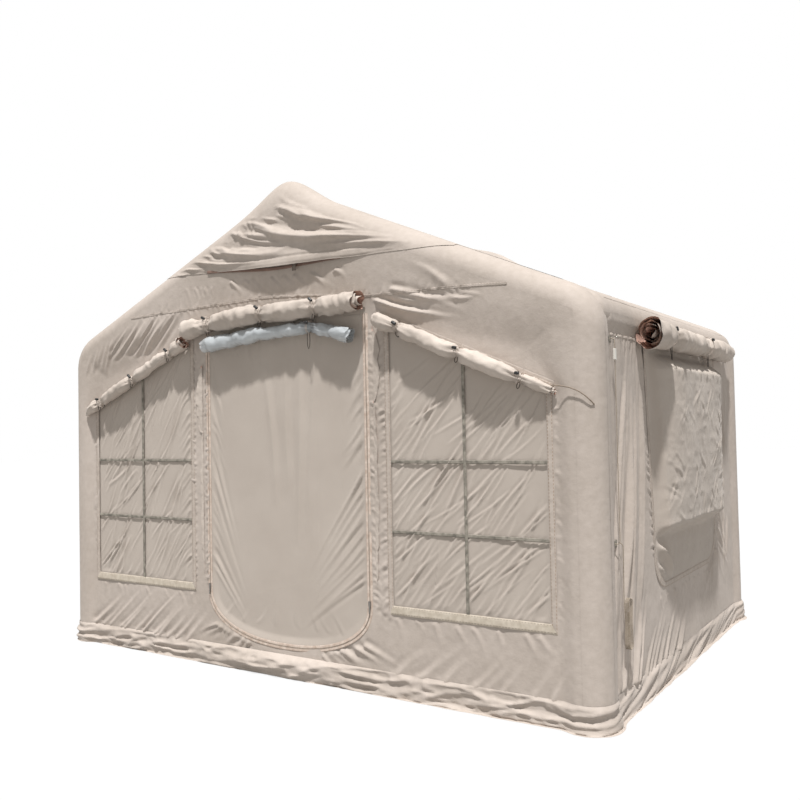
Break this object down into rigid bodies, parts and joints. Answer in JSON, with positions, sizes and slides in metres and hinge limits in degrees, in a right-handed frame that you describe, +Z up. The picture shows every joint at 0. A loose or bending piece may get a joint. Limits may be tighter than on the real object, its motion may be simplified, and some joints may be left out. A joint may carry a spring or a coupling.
{
  "type": "inflatable tent",
  "caption": "Cabin tent on inflatable arches and beams, with mesh windows, a zipped mesh door, rolled-up covers, gable vents and a mud skirt.",
  "frame": {"origin": "on the ground, under the middle of the tent, at the groundsheet's underside", "axes": "+X to the right as one faces the door, -Y out of the door, +Z up"},
  "size_m": [3.1829, 2.3796, 2.2117],
  "materials": {
    "taupe_oxford_cloth": "coated woven polyester, matt, warm taupe",
    "rolled_oxford_cloth": "the same cloth, wound in a roll with its paler inner face out",
    "bladder_film": "smooth elastic film, half see-through",
    "window_net": "fine insect net, see-through",
    "pale_webbing": "flat woven tape, beige",
    "clear_film": "clear flexible film, bluish where it is wound in layers",
    "zip_tape": "woven zip tape with a moulded coil, cream",
    "zip_metal": "enamelled zinc, dark grey",
    "dark_webbing": "narrow woven tape, dark brown, with moulded toggles of the same colour",
    "floor_cloth": "heavy coated groundsheet cloth",
    "white_plastic": "moulded, smooth, off-white",
    "cord_fibre": "braided cord, grey brown"
  },
  "bodies": {
    "tent": {"air_arch_back": "bladder_film", "air_arch_front": "bladder_film", "air_beam_left": "bladder_film", "air_beam_ridge": "bladder_film", "air_beam_right": "bladder_film", "back_wall": "taupe_oxford_cloth", "door_canvas_roll": "rolled_oxford_cloth", "door_clear_roll": "clear_film", "door_ties": "dark_webbing", "door_zip_outer": "zip_tape", "front_wall": "taupe_oxford_cloth", "gable_flap_back": "taupe_oxford_cloth", "gable_flap_front": "taupe_oxford_cloth", "groundsheet": "floor_cloth", "guy_line_drop": "cord_fibre", "guy_line_hank": "cord_fibre", "guy_line_upper": "cord_fibre", "guy_tab_lower": "pale_webbing", "guy_tab_upper": "pale_webbing", "inflation_valve": "white_plastic", "left_wall": "taupe_oxford_cloth", "mud_skirt": "taupe_oxford_cloth", "right_wall": "taupe_oxford_cloth", "roof_left": "taupe_oxford_cloth", "roof_right": "taupe_oxford_cloth", "sleeve_arch_back": "taupe_oxford_cloth", "sleeve_arch_front": "taupe_oxford_cloth", "sleeve_beam_left": "taupe_oxford_cloth", "sleeve_beam_ridge": "taupe_oxford_cloth", "sleeve_beam_right": "taupe_oxford_cloth", "vent_mesh_back": "window_net", "vent_mesh_front": "window_net", "window_cord": "cord_fibre", "window_mesh_back_left": "window_net", "window_mesh_back_right": "window_net", "window_mesh_front_left": "window_net", "window_mesh_front_right": "window_net", "window_mesh_left": "window_net", "window_mesh_right": "window_net", "window_roll_back_left": "rolled_oxford_cloth", "window_roll_back_right": "rolled_oxford_cloth", "window_roll_front_left": "rolled_oxford_cloth", "window_roll_front_right": "rolled_oxford_cloth", "window_roll_left": "rolled_oxford_cloth", "window_roll_right": "rolled_oxford_cloth", "window_tapes_back_left": "pale_webbing", "window_tapes_back_right": "pale_webbing", "window_tapes_front_left": "pale_webbing", "window_tapes_front_right": "pale_webbing", "window_tapes_left": "pale_webbing", "window_tapes_right": "pale_webbing", "window_ties_front_left": "dark_webbing", "window_ties_front_right": "dark_webbing", "window_ties_right": "dark_webbing"},
    "door": {"door_mesh": "window_net", "door_zip_inner": "zip_tape"},
    "slider_left": {"zip_slider_left": "zip_metal"},
    "slider_right": {"zip_slider_right": "zip_metal"},
    "cap": {"valve_cap": "white_plastic"},
    "tensioner": {"guy_tensioner": "white_plastic"}
  },
  "joints": [
    {"name": "door_swing", "type": "hinge", "parent": "tent", "child": "door", "pos_m": [0, -1.109, 1.5993], "axis": [1, 0, 0], "range_deg": [0, 85]},
    {"name": "slider_left_travel", "type": "slide", "parent": "tent", "child": "slider_left", "axis": [0, 0, 1], "range_m": [0, 1.05]},
    {"name": "slider_right_travel", "type": "slide", "parent": "tent", "child": "slider_right", "axis": [0, 0, 1], "range_m": [0, 1.05]},
    {"name": "cap_flip", "type": "hinge", "parent": "tent", "child": "cap", "pos_m": [-1.32684, 0.95684, 0.322], "axis": [-0.7071, -0.7071, 0], "range_deg": [0, 110]},
    {"name": "tensioner_travel", "type": "slide", "parent": "tent", "child": "tensioner", "axis": [0, 0, -1], "range_m": [0, 0.25]}
  ]
}
